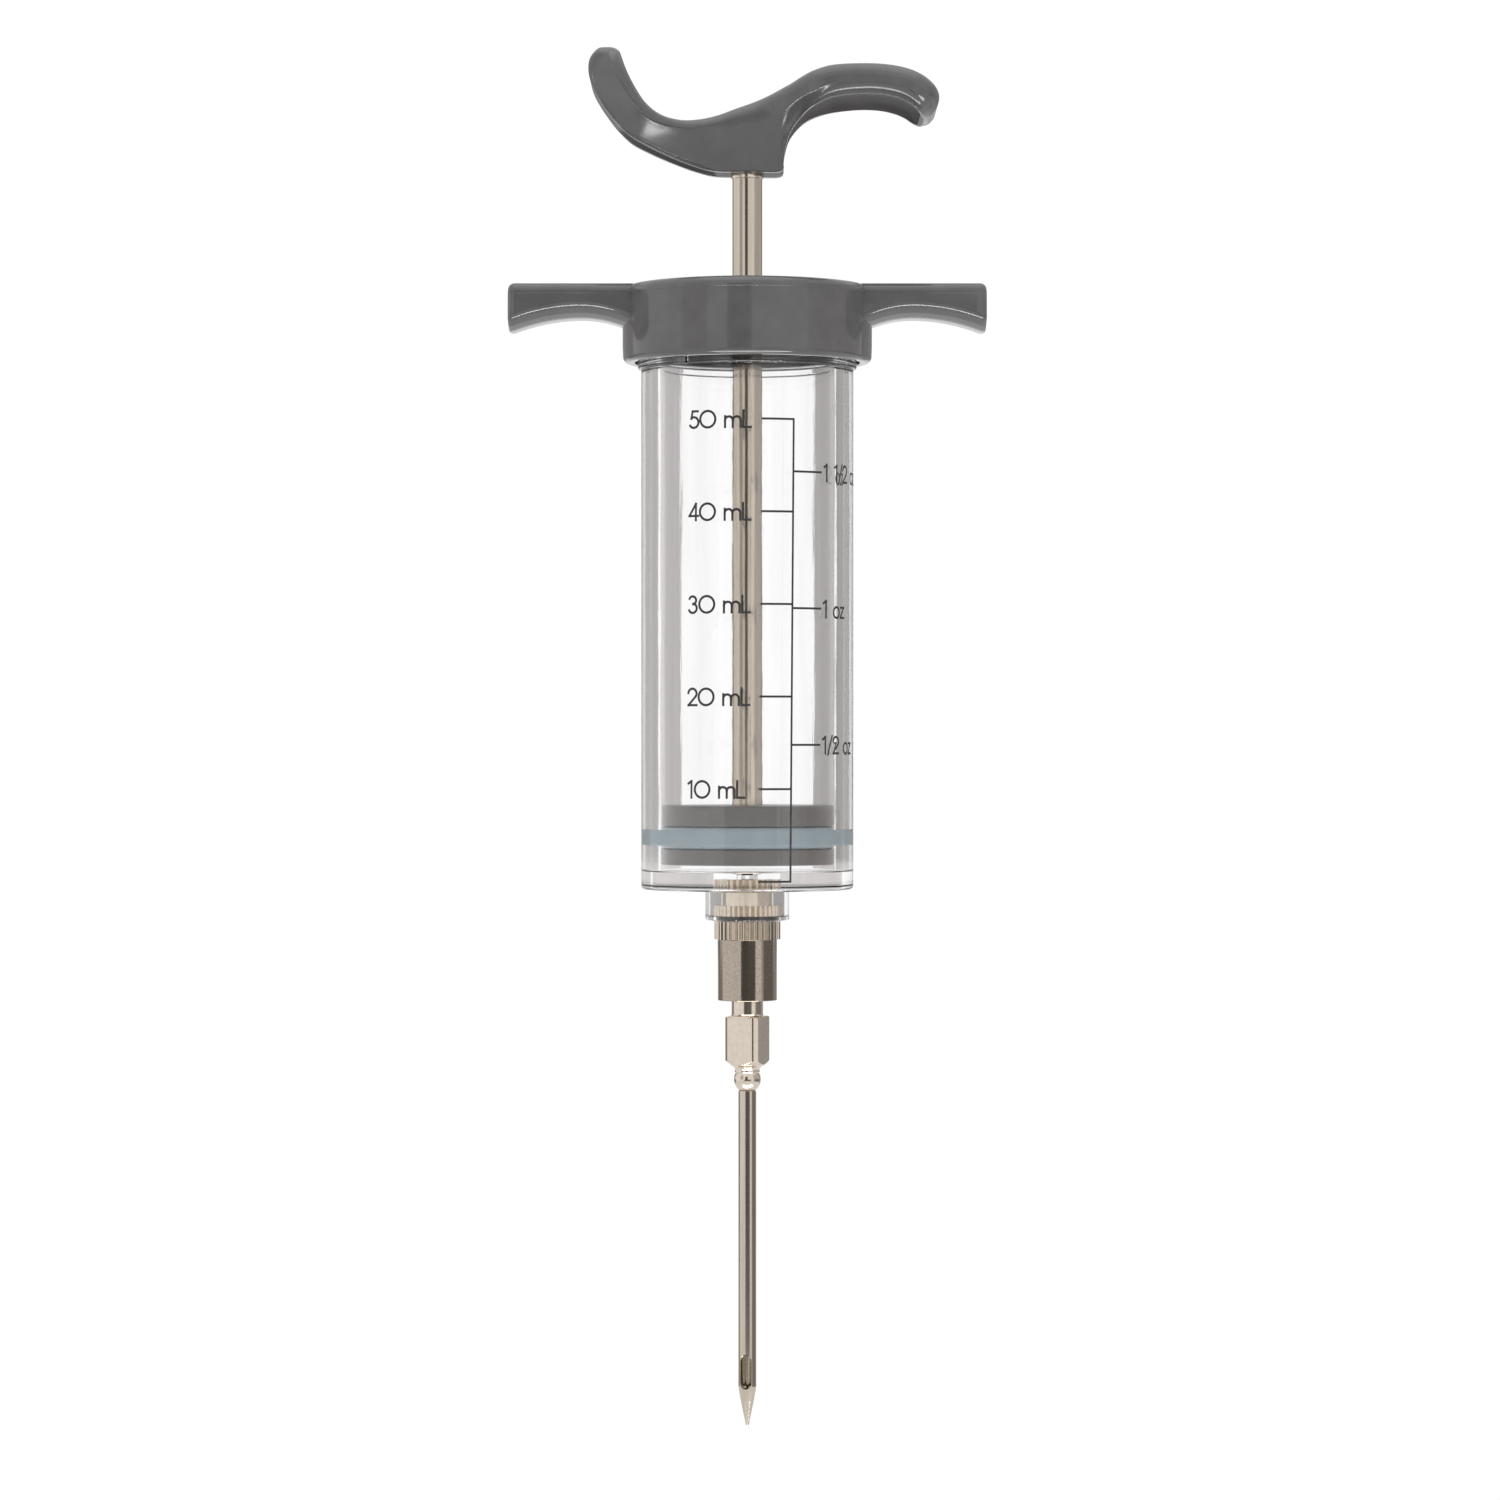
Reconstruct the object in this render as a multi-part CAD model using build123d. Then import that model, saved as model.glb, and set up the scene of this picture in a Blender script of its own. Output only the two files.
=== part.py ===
from build123d import *
import os
from math import cos, sin, radians

# Meat injector: hand syringe for brine, with a palm handle, a winged bayonet cap, a clear
# barrel and a long needle on a luer-lock fitting.
# Millimetres. +Z runs up the barrel towards the handle. The origin is on the barrel's axis
# at the zero line of the scale, a little below the chamber floor. The finger wings lie along X.

os.makedirs("parts", exist_ok=True)

# ---- driving dimensions -------------------------------------------------------------
RUN = 0.08                 # radial clearance of a running fit

BARREL_R = 17.7
BORE_R = 14.52             # 10 ml of chamber is 15.1 mm tall
BARREL_TOP = 95.4
BARREL_BOTTOM = -1.7
FLOOR_Z = 1.3
BEAD_R = 18.25             # clear bead just under the cap
BEAD_FOOT = 84.8
NECK_R = 7.0
NECK_BOTTOM = -6.9
RING_SEAT = -6.2           # roof of the recess that holds the tip ring
PASSAGE_R = 1.2
PASSAGE_MOUTH_R = 2.3      # countersunk into the chamber floor

LUG_R = 19.2               # bayonet lugs on the barrel's mouth
LUG_Z = (91.0, 93.0)
LUG_ANGLE = 36
LUG_CENTRES = (90, 270)

CAP_R = 20.875
CAP_Z = (85.9, 98.7)
CAP_CEILING = 95.7
CAP_BORE_R = 19.5
LEDGE_R = 18.0             # inner radius of the bayonet ledge
LEDGE_Z = (88.0, 90.9)
CAP_TURN = 50              # degrees from locked to open
GAP_ANGLE = 44             # entry gap for a lug
WING_REACH = 39.6
WING_HALF_DEPTH = 8.0

ROD_R = 2.5
ROD_THREAD_R = 2.0
PISTON_R = 14.4
PISTON_Z = (2.5, 12.3)
GROOVE_Z = (5.1, 8.9)
GROOVE_R = 11.2
SEAL_R = 14.48

HANDLE_HALF_DEPTH = 12.0
HANDLE_WAIST_HALF_DEPTH = 8.0   # the band is narrower over the stem
HANDLE_WAIST_X = -4.0
STEM_HALF_DEPTH = 4.5
STEM_BOTTOM = 117.4
HANDLE_WALL = 2.0
INSERT_R = 3.0

NECK_INSERT_R = 3.75
NECK_INSERT_TOP = 0.1
NECK_INSERT_WAIST_R = 2.9
NECK_INSERT_WAIST_Z = (-4.4, -2.2)
SOCKET_R = 2.5             # M5 thread, drawn plain
COLLAR_R = 5.53
COLLAR_Z = (-10.0, -7.0)
COLLAR_TEETH = 36
STUB_TOP = -2.2
SLEEVE_R = 4.95
SLEEVE_BORE_R = 4.0
SLEEVE_BOTTOM = -20.2
LUER_SLOPE = 0.03          # 6 percent taper on diameter
LUER_TIP = -19.2
LUER_ROOT_R = 2.2

HUB_TOP = -12.6
HUB_NECK_R = 2.65
SQUARE_Z = (-30.2, -22.8)
SQUARE_WIDTH = 6.04
SQUARE_CORNER_R = 3.78
SQUARE_TURN = -24.7        # a corner faces the front, a little to the right
WAIST_Z = -31.9
WAIST_R = 2.05
BALL_Z = -33.4
BALL_R = 2.25

NEEDLE_R = 1.5
NEEDLE_BORE_R = 1.0
NEEDLE_ROOT_R = 1.3         # the end that is fixed in the hub
NEEDLE_ROOT_Z = -35.3
NEEDLE_TOP = -26.0
SHOULDER_Z = -84.5
TIP_Z = -91.3
PORT_Z = (-84.8, -79.3)
PORT_WIDTH = 1.9


# ---- helpers ------------------------------------------------------------------------
def disc(radius, low, high):
    """Solid cylinder on the Z axis between two heights."""
    stand = (Align.CENTER, Align.CENTER, Align.MIN)
    return Pos(0, 0, low) * Cylinder(radius, high - low, align=stand)


def tube(outer, inner, low, high):
    """Hollow cylinder on the Z axis between two heights."""
    return disc(outer, low, high) - disc(inner, low - 1, high + 1)


def turned(*points):
    """Body of revolution from (radius, height) corners."""
    return revolve(Plane.XZ * make_face(Polyline(*points, close=True)), Axis.Z)


def slab(edges, half_depth):
    """Front-view outline pushed out equally to the front and the back."""
    return extrude(Plane.XZ * make_face(Curve() + edges), half_depth, both=True)


def sector(outer, inner, low, high, start, sweep):
    """Block of a ring between two angles in degrees."""
    far = outer * 2
    turns = [start, start + sweep / 2, start + sweep]
    corners = [(0, 0)] + [(far * cos(radians(a)), far * sin(radians(a))) for a in turns]
    wedge = Pos(0, 0, low) * extrude(make_face(Polyline(*corners, close=True)), high - low)
    return tube(outer, inner, low, high) & wedge


def knurled(outer, root, low, high, teeth):
    """Straight-knurled cylinder with pointed teeth."""
    corners = []
    for i in range(2 * teeth):
        r = outer if i % 2 == 0 else root
        a = radians(180 * i / teeth)
        corners.append((r * cos(a), r * sin(a)))
    return Pos(0, 0, low) * extrude(make_face(Polyline(*corners, close=True)), high - low)


def at_height(shape, z):
    """Edges of a shape that lie level at a height."""
    return shape.edges().filter_by_position(Axis.Z, z - 0.01, z + 0.01)


# ---- barrel -------------------------------------------------------------------------
# Clear cup with a floor, a neck that holds a metal bush, a bead and two bayonet lugs.
wall = fillet(at_height(disc(BARREL_R, BARREL_BOTTOM, BARREL_TOP), BARREL_BOTTOM), 0.9)
neck = fillet(at_height(disc(NECK_R, NECK_BOTTOM, 0), NECK_BOTTOM), 0.8)
bead = tube(BEAD_R, BORE_R + 1, BEAD_FOOT, 86.3)
bead = fillet(bead.edges().filter_by(GeomType.CIRCLE).sort_by(SortBy.RADIUS)[-2:], 0.35)
barrel = wall + neck + bead
for centre in LUG_CENTRES:
    barrel += sector(LUG_R, BORE_R + 1, *LUG_Z, centre - LUG_ANGLE / 2, LUG_ANGLE)
barrel += sector(18.9, BORE_R + 1, BEAD_FOOT, 86.5, 230, 7)
barrel -= disc(BORE_R, FLOOR_Z, BARREL_TOP + 1)
barrel -= disc(PASSAGE_R, -3, FLOOR_Z + 1)
barrel -= turned((0, FLOOR_Z), (PASSAGE_MOUTH_R, FLOOR_Z), (PASSAGE_R, FLOOR_Z - 0.5), (0, FLOOR_Z - 0.5))
barrel -= disc(NECK_INSERT_R, NECK_BOTTOM - 1, NECK_INSERT_TOP)
barrel += tube(NECK_INSERT_R + 0.5, NECK_INSERT_WAIST_R, *NECK_INSERT_WAIST_Z)
barrel -= disc(5.3, NECK_BOTTOM - 1, RING_SEAT)

# Metal bush in the neck: two knurled bands with a smooth waist between them.
bush = knurled(NECK_INSERT_R, 3.5, RING_SEAT, NECK_INSERT_WAIST_Z[0], 28)
bush += disc(NECK_INSERT_WAIST_R, *NECK_INSERT_WAIST_Z)
bush += knurled(NECK_INSERT_R, 3.5, NECK_INSERT_WAIST_Z[1], NECK_INSERT_TOP, 28)
neck_insert = bush - disc(SOCKET_R, -7, 1)

# ---- cap ----------------------------------------------------------------------------
# Round bayonet cap with two finger wings. The lugs sit above its inner ledge when locked.
cap_body = fillet(at_height(disc(CAP_R, *CAP_Z), CAP_Z[1]), 1.0)
for side in (1, -1):
    wing_lines = [
        Line((side * 14, 98.7), (side * 38.5, 98.7)),
        ThreePointArc((side * 38.5, 98.7), (side * 39.28, 98.38), (side * WING_REACH, 97.6)),
        Line((side * WING_REACH, 97.6), (side * WING_REACH, 91.7)),
        ThreePointArc((side * WING_REACH, 91.7), (side * 39.28, 90.92), (side * 38.5, 90.6)),
        ThreePointArc((side * 38.5, 90.6), (side * 27.8, 93.0), (side * 14, 90.8)),
        Line((side * 14, 90.8), (side * 14, 98.7)),
    ]
    wing = slab(wing_lines, WING_HALF_DEPTH)
    outline = [e for e in wing.edges() if abs(e.center().Y) > WING_HALF_DEPTH - 0.01]
    cap_body += fillet([e for e in outline if abs(e.center().X) > 20], 1.0)
cap_body -= disc(CAP_BORE_R, CAP_Z[0] - 1, CAP_CEILING)
ledge = tube(CAP_BORE_R + 0.5, LEDGE_R, *LEDGE_Z)
for centre in LUG_CENTRES:
    gap_start = centre - CAP_TURN - GAP_ANGLE / 2
    ledge -= sector(CAP_BORE_R + 1, LEDGE_R - 1, 87, 92, gap_start, GAP_ANGLE)
    ledge += sector(CAP_BORE_R + 0.5, LEDGE_R, LEDGE_Z[1] - 1, 94.0, gap_start - 2, 2)
    ledge += sector(CAP_BORE_R + 0.5, LEDGE_R, LEDGE_Z[1] - 1, 94.0, centre + LUG_ANGLE / 2 + 1, 3)
cap = cap_body + ledge - disc(ROD_R + RUN, 90, 100)

# ---- handle -------------------------------------------------------------------------
# S-shaped palm grip: a wide band on a narrow stem, hollow under the right wing.
hook = ThreePointArc((-26.3, 134.2), (-23.2, 137.6), (-20.45, 134.6))
crest = Spline(
    (-20.45, 134.6), (-18.4, 130.6), (-15.4, 127.1), (-10.7, 125.7), (-5.8, 126.3), (2.1, 129.1),
    (7.2, 131.5), (12.5, 134.0), (18.8, 134.6), (25.0, 134.1), (30.4, 131.5), (31.7, 129.0),
    tangents=((0.2, -1), (0, -1)),
)
nose = ThreePointArc((31.7, 129.0), (31.4, 127.1), (29.9, 125.6))
nose_end = Line((29.9, 125.6), (28.6, 125.8))
wing_rim = Spline((28.6, 125.8), (26.0, 128.3), (22.3, 129.4), (18.8, 129.7), (14.3, 129.2), (8.8, 126.0))
stem_right = Spline((8.8, 126.0), (7.2, 123.9), (6.2, 120.6), (5.9, STEM_BOTTOM))
stem_foot = Line((5.9, STEM_BOTTOM), (-5.2, STEM_BOTTOM))
keel = Spline((-5.2, STEM_BOTTOM), (-9.5, 118.4), (-16.4, 121.7), (-21.8, 125.5), (-25.1, 130.1),
              (-26.3, 134.2), tangents=((-1, 0.1), (0, 1)))
band_foot = Spline((8.8, 126.0), (-3.7, 123.0), (-10.7, 121.8), (-17.0, 122.8), (-21.8, 125.9),
                   (-25.1, 130.1), (-26.3, 134.2))

band = slab([hook, crest, nose, nose_end, wing_rim, band_foot], HANDLE_HALF_DEPTH)
web = slab([hook, crest, nose, nose_end, wing_rim, stem_right, stem_foot, keel], STEM_HALF_DEPTH)

plan = Pos(2.7, 0, 110) * extrude(RectangleRounded(58.0, 2 * HANDLE_HALF_DEPTH, 6.0), 40)
under_wing = slab([
    Spline((10.5, 130.2), (14.0, 131.9), (18.8, 132.5), (25.0, 131.8), (28.0, 130.2), (29.1, 128.2)),
    Line((29.1, 128.2), (28.2, 115)),
    Line((28.2, 115), (10.5, 115)),
    Line((10.5, 115), (10.5, 130.2)),
], HANDLE_HALF_DEPTH - HANDLE_WALL)
under_hook = slab([
    Spline((-20.4, 125.4), (-16.5, 124.2), (-12.0, 123.0), (-6.2, 123.0)),
    Line((-6.2, 123.0), (-6.2, 115)),
    Line((-6.2, 115), (-20.4, 115)),
    Line((-20.4, 115), (-20.4, 125.4)),
], STEM_HALF_DEPTH - 1.4)
handle = (band + web) & plan
for side in (1, -1):
    handle -= Pos(HANDLE_WAIST_X, side * (HANDLE_WAIST_HALF_DEPTH + 30), 110) * Cylinder(30, 80)
handle = handle - under_wing - under_hook - disc(INSERT_R, 116, 126)

# Threaded metal insert in the stem, with the small collar that shows under the handle.
handle_insert = disc(INSERT_R, STEM_BOTTOM, 126) + disc(2.7, 116.6, STEM_BOTTOM)
handle_insert -= disc(ROD_THREAD_R, 116, 125)

# ---- plunger ------------------------------------------------------------------------
plunger_rod = disc(ROD_R, GROOVE_Z[1], 116.6)
plunger_rod += disc(ROD_THREAD_R, 3.6, 124.5)

piston_lower = disc(PISTON_R, PISTON_Z[0], GROOVE_Z[0])
piston_lower = chamfer(at_height(piston_lower, PISTON_Z[0]), 0.4)
piston_lower += disc(GROOVE_R, GROOVE_Z[0], GROOVE_Z[1])
piston_lower -= disc(ROD_THREAD_R, 3.6, 10)

piston_upper = disc(PISTON_R, GROOVE_Z[1], PISTON_Z[1])
piston_upper = chamfer(at_height(piston_upper, PISTON_Z[1]), 0.4) - disc(ROD_R, 0, 20)

piston_seal = tube(SEAL_R, GROOVE_R + 0.15, GROOVE_Z[0] + 0.05, GROOVE_Z[1] - 0.05)
piston_seal = fillet(piston_seal.edges().filter_by(GeomType.CIRCLE).sort_by(SortBy.RADIUS)[-2:], 0.9)

# ---- tip fitting --------------------------------------------------------------------
# Black ring between the neck and the knurled collar.
tip_ring = tube(5.1, 2.9, -7.0, RING_SEAT)
tip_ring = fillet(tip_ring.edges().filter_by(GeomType.CIRCLE).sort_by(SortBy.RADIUS)[-2:], 0.3)

# Knurled collar with a threaded stub above and the male luer cone below.
fitting = knurled(COLLAR_R, 5.15, *COLLAR_Z, COLLAR_TEETH)
fitting += disc(SOCKET_R - RUN, COLLAR_Z[1], STUB_TOP)
luer_tip_r = LUER_ROOT_R - LUER_SLOPE * (COLLAR_Z[0] - LUER_TIP)
fitting += turned((0, COLLAR_Z[0]), (LUER_ROOT_R, COLLAR_Z[0]), (luer_tip_r, LUER_TIP), (0, LUER_TIP))
luer_fitting = fitting - disc(0.9, -25, 0)

# Sleeve round the cone, where the needle's ears lock. Its thread is drawn plain.
luer_sleeve = tube(SLEEVE_R, SLEEVE_BORE_R, SLEEVE_BOTTOM, COLLAR_Z[0])
luer_sleeve += tube(SLEEVE_R, LUER_ROOT_R, -11.6, COLLAR_Z[0])
luer_sleeve = fillet(
    [e for e in at_height(luer_sleeve, SLEEVE_BOTTOM) if e.length > 28], 0.3)

# ---- needle -------------------------------------------------------------------------
# Hub with luer ears, a neck, a square for a wrench, a waist and a ball.
needle_hub = disc(HUB_NECK_R, SQUARE_Z[1], HUB_TOP)
for start in (60, 240):
    needle_hub += sector(SLEEVE_BORE_R - 0.1, HUB_NECK_R - 0.3, HUB_TOP - 1.2, HUB_TOP, start, 60)
square = Pos(0, 0, WAIST_Z) * Box(
    SQUARE_WIDTH, SQUARE_WIDTH, SQUARE_Z[1] - WAIST_Z, align=(Align.CENTER, Align.CENTER, Align.MIN))
turned_end = turned((0, SQUARE_Z[1]), (SQUARE_CORNER_R, SQUARE_Z[1]), (SQUARE_CORNER_R, SQUARE_Z[0]),
                    (2.7, -31.1), (WAIST_R, WAIST_Z), (0, WAIST_Z))
needle_hub += Rot(0, 0, SQUARE_TURN) * (square & turned_end)
needle_hub += Pos(0, 0, BALL_Z) * Sphere(BALL_R)
cone_top_r = LUER_ROOT_R - LUER_SLOPE * (COLLAR_Z[0] - HUB_TOP) + RUN
cone_end_r = LUER_ROOT_R - LUER_SLOPE * (COLLAR_Z[0] + 20.0) + RUN
needle_hub -= turned((0, HUB_TOP), (cone_top_r, HUB_TOP), (cone_end_r, -20.0), (0, -20.0))
needle_hub -= disc(0.9, -40, -19)
needle_hub -= disc(NEEDLE_ROOT_R, -40, NEEDLE_TOP)

# Closed-point tube with one long side port near the tip, facing the front and a little left.
point = [
    Line((0, NEEDLE_TOP), (NEEDLE_ROOT_R, NEEDLE_TOP)),
    Line((NEEDLE_ROOT_R, NEEDLE_TOP), (NEEDLE_ROOT_R, NEEDLE_ROOT_Z)),
    Line((NEEDLE_ROOT_R, NEEDLE_ROOT_Z), (NEEDLE_R, NEEDLE_ROOT_Z)),
    Line((NEEDLE_R, NEEDLE_ROOT_Z), (NEEDLE_R, SHOULDER_Z)),
    ThreePointArc((NEEDLE_R, SHOULDER_Z), (0.93, -87.7), (0.12, TIP_Z + 0.1)),
    Line((0.12, TIP_Z + 0.1), (0, TIP_Z)),
    Line((0, TIP_Z), (0, NEEDLE_TOP)),
]
needle_tube = revolve(Plane.XZ * make_face(Curve() + point), Axis.Z)
needle_tube -= disc(NEEDLE_BORE_R, SHOULDER_Z + 0.5, NEEDLE_TOP + 1)
port_length = PORT_Z[1] - PORT_Z[0]
port = extrude(Plane.XZ * SlotOverall(port_length, PORT_WIDTH, rotation=90), 3)
needle_tube -= Rot(0, 0, -12) * Pos(0, 0, sum(PORT_Z) / 2) * port

# ---- export -------------------------------------------------------------------------
NODES = {
    "barrel": barrel,
    "neck_insert": neck_insert,
    "cap": cap,
    "handle": handle,
    "handle_insert": handle_insert,
    "plunger_rod": plunger_rod,
    "piston_upper": piston_upper,
    "piston_lower": piston_lower,
    "piston_seal": piston_seal,
    "tip_ring": tip_ring,
    "luer_fitting": luer_fitting,
    "luer_sleeve": luer_sleeve,
    "needle_hub": needle_hub,
    "needle_tube": needle_tube,
}
for name, body in NODES.items():
    export_step(body, f"parts/{name}.step")
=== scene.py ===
import math
import bmesh
import bpy
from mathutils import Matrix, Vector


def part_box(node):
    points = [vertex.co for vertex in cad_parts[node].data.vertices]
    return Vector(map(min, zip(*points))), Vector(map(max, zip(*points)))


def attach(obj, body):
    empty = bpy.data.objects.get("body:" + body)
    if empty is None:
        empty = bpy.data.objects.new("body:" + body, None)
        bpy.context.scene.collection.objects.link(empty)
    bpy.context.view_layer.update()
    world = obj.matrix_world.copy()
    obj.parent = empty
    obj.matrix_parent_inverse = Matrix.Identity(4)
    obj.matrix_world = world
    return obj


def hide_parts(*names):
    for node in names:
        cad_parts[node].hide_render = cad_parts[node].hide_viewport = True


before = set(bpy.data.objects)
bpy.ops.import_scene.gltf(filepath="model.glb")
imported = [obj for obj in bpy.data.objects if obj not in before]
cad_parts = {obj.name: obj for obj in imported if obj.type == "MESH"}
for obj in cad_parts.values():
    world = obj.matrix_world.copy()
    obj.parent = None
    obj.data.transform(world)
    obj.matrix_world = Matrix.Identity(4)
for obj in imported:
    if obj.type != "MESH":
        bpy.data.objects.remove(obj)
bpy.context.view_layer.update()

# Everything below is written in millimetres and turned into metres when a mesh is made.
MM = 0.001


# ---- small helpers ------------------------------------------------------------------
def span(node, axis=2):
    """Lowest and highest coordinate of a CAD node, in millimetres."""
    low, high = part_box(node)
    return low[axis] / MM, high[axis] / MM


def mix(a, b, t):
    return a + (b - a) * t


def rounded(corners, steps=6):
    """Closed outline from (x, y, radius) corners, each turned into an arc."""
    out = []
    count = len(corners)
    for i, (x, y, radius) in enumerate(corners):
        here = Vector((x, y))
        if radius <= 0:
            out.append((x, y))
            continue
        before = Vector(corners[i - 1][:2]) - here
        after = Vector(corners[(i + 1) % count][:2]) - here
        u, v = before.normalized(), after.normalized()
        half = math.acos(max(-1.0, min(1.0, u.dot(v)))) / 2
        reach = radius / math.tan(half)
        centre = here + (u + v).normalized() * (radius / math.sin(half))
        start, end = here + u * reach - centre, here + v * reach - centre
        turn = start.angle_signed(end)
        for k in range(steps + 1):
            a = -turn * k / steps
            c, s = math.cos(a), math.sin(a)
            out.append((centre.x + c * start.x - s * start.y, centre.y + s * start.x + c * start.y))
    return out


def add_piece(name, verts, faces, body, material, slot, sharp=32.0, replaces=()):
    """Mesh piece in the row frame that rides on a CAD body."""
    mesh = bpy.data.meshes.new(name)
    mesh.from_pydata([(x * MM, y * MM, z * MM) for x, y, z in verts], [], faces)
    mesh.validate()
    build = bmesh.new()
    build.from_mesh(mesh)
    bmesh.ops.recalc_face_normals(build, faces=build.faces)
    build.to_mesh(mesh)
    build.free()
    mesh.polygons.foreach_set("use_smooth", [True] * len(mesh.polygons))
    mesh.set_sharp_from_angle(angle=math.radians(sharp))
    piece = bpy.data.objects.new(name, mesh)
    bpy.context.collection.objects.link(piece)
    mesh.materials.append(material)
    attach(piece, body)
    if replaces:
        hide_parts(*replaces)
    return piece


def held(outline, closed):
    """Adds a point close to both ends of each long line, so that shading stays flat along it."""
    out = []
    count = len(outline)
    for i, (ax, ay) in enumerate(outline):
        out.append((ax, ay))
        bx, by = outline[(i + 1) % count]
        length = math.hypot(bx - ax, by - ay)
        if length > 0.5 and max(ax, bx) > 0 and (closed or i < count - 1):
            for t in (0.04 / length, 1 - 0.04 / length):
                out.append((mix(ax, bx, t), mix(ay, by, t)))
    return out


def lathe(outline, segments=128, shape=None, closed=True):
    """Turned mesh from an (r, z) outline. shape(r, z, angle) may change the radius."""
    verts, faces, rings = [], [], []
    for r, z in held(outline, closed):
        if r <= 1e-6:
            rings.append([len(verts)] * segments)
            verts.append((0.0, 0.0, z))
            continue
        rings.append(list(range(len(verts), len(verts) + segments)))
        for k in range(segments):
            a = 2 * math.pi * k / segments
            radius = shape(r, z, a) if shape else r
            verts.append((radius * math.cos(a), radius * math.sin(a), z))
    pairs = list(zip(rings, rings[1:] + rings[:1])) if closed else list(zip(rings, rings[1:]))
    for low, high in pairs:
        for k in range(segments):
            n = (k + 1) % segments
            face = []
            for v in (low[k], low[n], high[n], high[k]):
                if v not in face:
                    face.append(v)
            if len(face) > 2:
                faces.append(face)
    return verts, faces


def loft(rings):
    """Closed skin through rings of the same length, capped at both ends."""
    size = len(rings[0])
    verts = [v for ring in rings for v in ring]
    faces = []
    for i in range(len(rings) - 1):
        a, b = i * size, (i + 1) * size
        for k in range(size):
            n = (k + 1) % size
            faces.append((a + k, a + n, b + n, b + k))
    faces.append(tuple(reversed(range(size))))
    faces.append(tuple(range(len(verts) - size, len(verts))))
    return verts, faces


def sector(inner, outer, low, high, start, sweep, steps=10):
    """Block of a ring between two angles in degrees."""
    corners = ((inner, low), (outer, low), (outer, high), (inner, high))
    rings = []
    for k in range(steps + 1):
        a = math.radians(start + sweep * k / steps)
        rings.append([(r * math.cos(a), r * math.sin(a), z) for r, z in corners])
    return loft(rings)


# ---- materials ----------------------------------------------------------------------
def new_material(name):
    material = bpy.data.materials.new(name)
    material.use_nodes = True
    tree = material.node_tree
    return material, tree, tree.nodes["Principled BSDF"]


def noise_ramp(tree, scale, stretch, low, high, detail=4.0):
    """Object-space noise, stretched along the axes, run through a two-stop colour ramp."""
    place = tree.nodes.new("ShaderNodeTexCoord")
    spread = tree.nodes.new("ShaderNodeMapping")
    spread.inputs["Scale"].default_value = stretch
    noise = tree.nodes.new("ShaderNodeTexNoise")
    noise.inputs["Scale"].default_value = scale
    noise.inputs["Detail"].default_value = detail
    ramp = tree.nodes.new("ShaderNodeValToRGB")
    ramp.color_ramp.elements[0].position = 0.3
    ramp.color_ramp.elements[1].position = 0.7
    ramp.color_ramp.elements[0].color = low
    ramp.color_ramp.elements[1].color = high
    tree.links.new(place.outputs["Object"], spread.inputs["Vector"])
    tree.links.new(spread.outputs["Vector"], noise.inputs["Vector"])
    tree.links.new(noise.outputs["Fac"], ramp.inputs["Fac"])
    return noise, ramp


def bump_from(tree, shader, height, strength, distance):
    bump = tree.nodes.new("ShaderNodeBump")
    bump.inputs["Strength"].default_value = strength
    bump.inputs["Distance"].default_value = distance
    tree.links.new(height, bump.inputs["Height"])
    tree.links.new(bump.outputs["Normal"], shader.inputs["Normal"])


def surface(name, dark, light, rough, metallic=0.0, scale=300.0, stretch=(1, 1, 1), bump=0.0):
    """Principled surface whose colour drifts between two close tones."""
    material, tree, shader = new_material(name)
    noise, ramp = noise_ramp(tree, scale, stretch, (*dark, 1), (*light, 1))
    tree.links.new(ramp.outputs["Color"], shader.inputs["Base Color"])
    shader.inputs["Roughness"].default_value = rough
    shader.inputs["Metallic"].default_value = metallic
    if bump:
        bump_from(tree, shader, noise.outputs["Fac"], bump, 0.0001)
    return material


def clear_plastic(name):
    """Clear acrylic with fine scratches that run along the barrel."""
    material, tree, shader = new_material(name)
    noise, ramp = noise_ramp(tree, 700.0, (1, 1, 0.06), (0.955, 0.95, 0.95, 1), (1, 1, 1, 1), 6.0)
    tree.links.new(ramp.outputs["Color"], shader.inputs["Base Color"])
    shader.inputs["Transmission Weight"].default_value = 1.0
    shader.inputs["IOR"].default_value = 1.49
    shader.inputs["Roughness"].default_value = 0.0
    bump_from(tree, shader, noise.outputs["Fac"], 0.12, 0.0001)
    return material


grey_plastic = surface("grey_plastic", (0.092, 0.089, 0.092), (0.108, 0.104, 0.108), 0.11, scale=260)
satin_plastic = surface("satin_plastic", (0.092, 0.089, 0.092), (0.108, 0.104, 0.108), 0.24, scale=260)
matt_plastic = surface("matt_plastic", (0.095, 0.09, 0.09), (0.115, 0.108, 0.108), 0.5, scale=260)
piston_plastic = surface("piston_plastic", (0.17, 0.16, 0.152), (0.20, 0.188, 0.178), 0.36, scale=400,
                         bump=0.05)
steel = surface("steel", (0.50, 0.445, 0.37), (0.60, 0.54, 0.455), 0.12, 1.0, 900, (1, 1, 0.05), 0.02)
nickel = surface("nickel", (0.62, 0.55, 0.46), (0.70, 0.62, 0.53), 0.12, 1.0, 1400, (1, 1, 1), 0.03)
dull_nickel = surface("dull_nickel", (0.34, 0.29, 0.24), (0.46, 0.40, 0.335), 0.11, 1.0, 3200,
                      (1, 1, 1), 0.03)
silicone = surface("silicone", (0.40, 0.49, 0.54), (0.46, 0.545, 0.585), 0.33, scale=220)
silicone.node_tree.nodes["Principled BSDF"].inputs["Subsurface Weight"].default_value = 0.25
silicone.node_tree.nodes["Principled BSDF"].inputs["Subsurface Radius"].default_value = (0.002, 0.002, 0.002)
black_rubber = surface("black_rubber", (0.012, 0.012, 0.012), (0.022, 0.021, 0.02), 0.45, scale=500)
ink = surface("ink", (0.012, 0.012, 0.012), (0.03, 0.03, 0.03), 0.5, scale=1500)
acrylic = clear_plastic("acrylic")
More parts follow.
